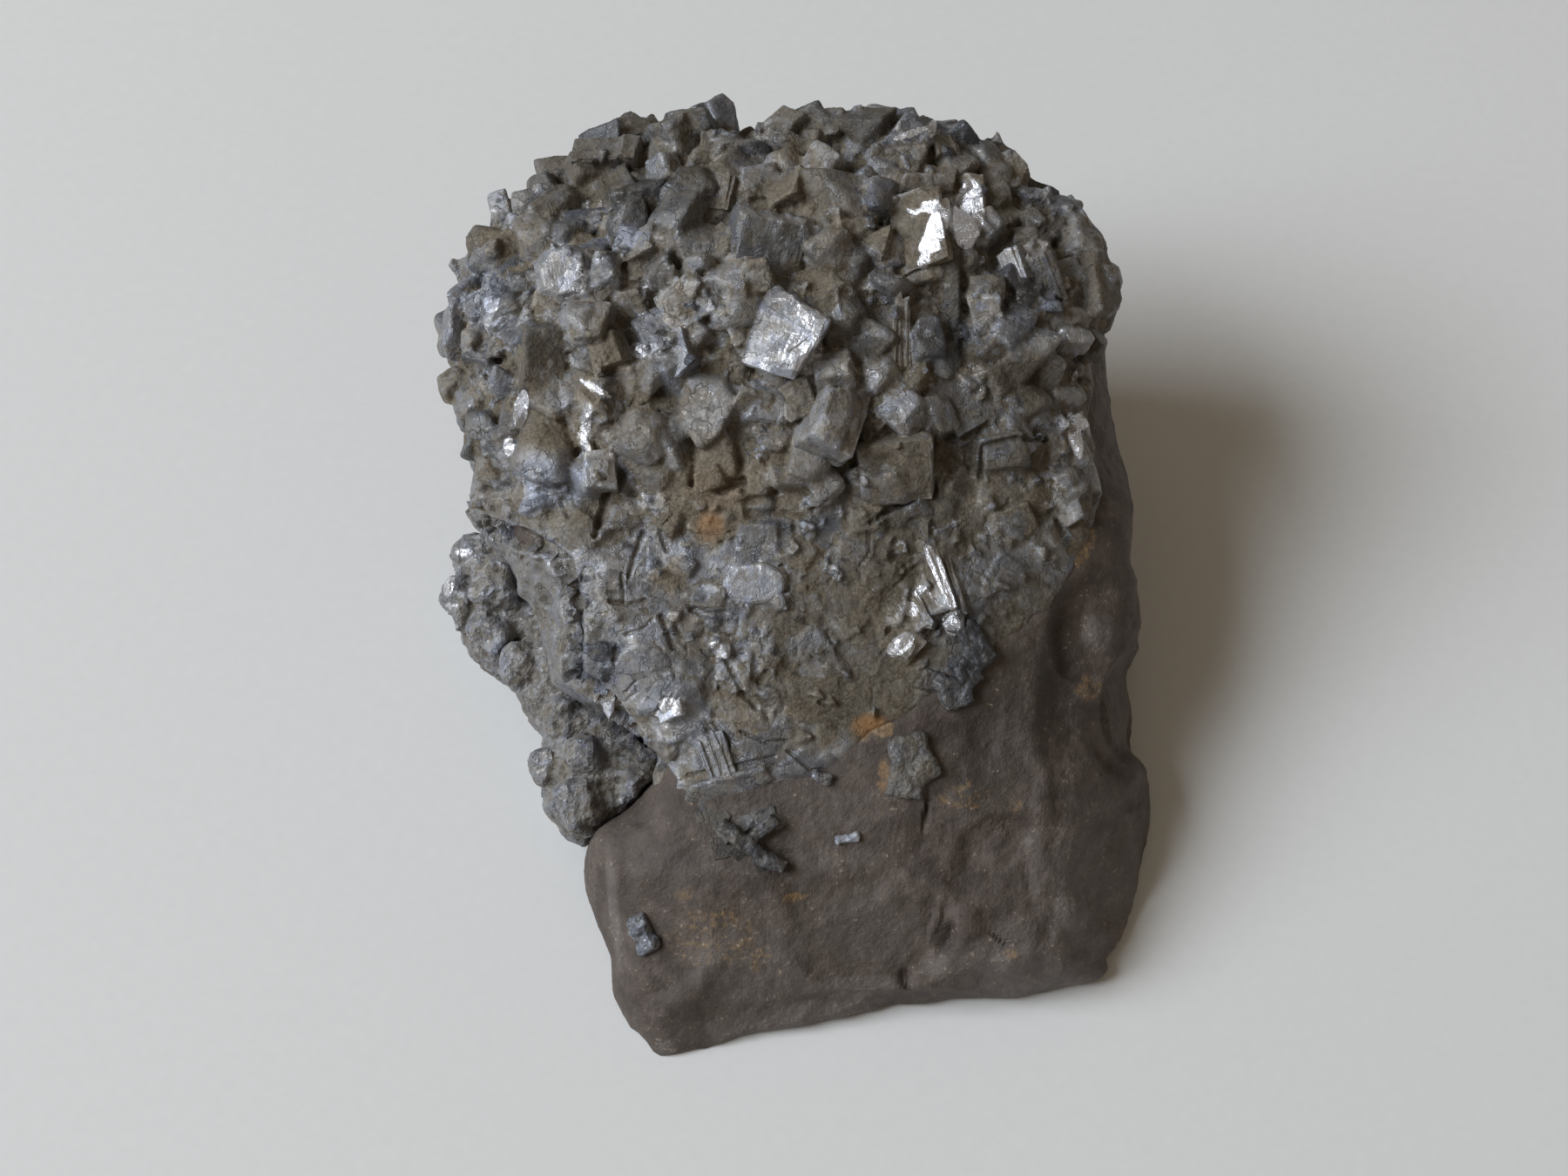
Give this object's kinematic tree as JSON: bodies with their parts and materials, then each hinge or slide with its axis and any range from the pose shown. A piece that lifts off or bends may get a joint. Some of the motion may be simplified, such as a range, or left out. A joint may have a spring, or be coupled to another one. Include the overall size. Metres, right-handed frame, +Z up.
{
  "type": "galena crystal druse on matrix rock",
  "caption": "Hand specimen: a wedge of brown matrix rock whose sloping face, top edge and left flank carry a crust of blocky lead-grey galena crystals; it rests on a flat cut.",
  "frame": {"origin": "middle of the specimen's footprint, on the surface that it rests on", "axes": "+Z up, -Y towards the low front tip that the crystal face slopes down to, +X to the right of that face"},
  "size_m": [0.0911, 0.1076, 0.0554],
  "materials": {
    "galena": "lead-grey galena with a dull to metallic lustre, tan dust in the hollows",
    "brown_matrix": "matt brown-grey fine-grained rock with ochre and pale specks"
  },
  "bodies": {
    "root": {"matrix_rock": "brown_matrix", "galena_crust": "galena", "galena_flank_druse": "galena", "crystal_patch_front": "galena", "crystal_patch_right": "galena", "crystal_patch_upper_right": "galena", "crystal_flake_pale": "galena", "crystal_flake_left": "galena", "crystal_flake_arc": "galena"}
  },
  "joints": []
}
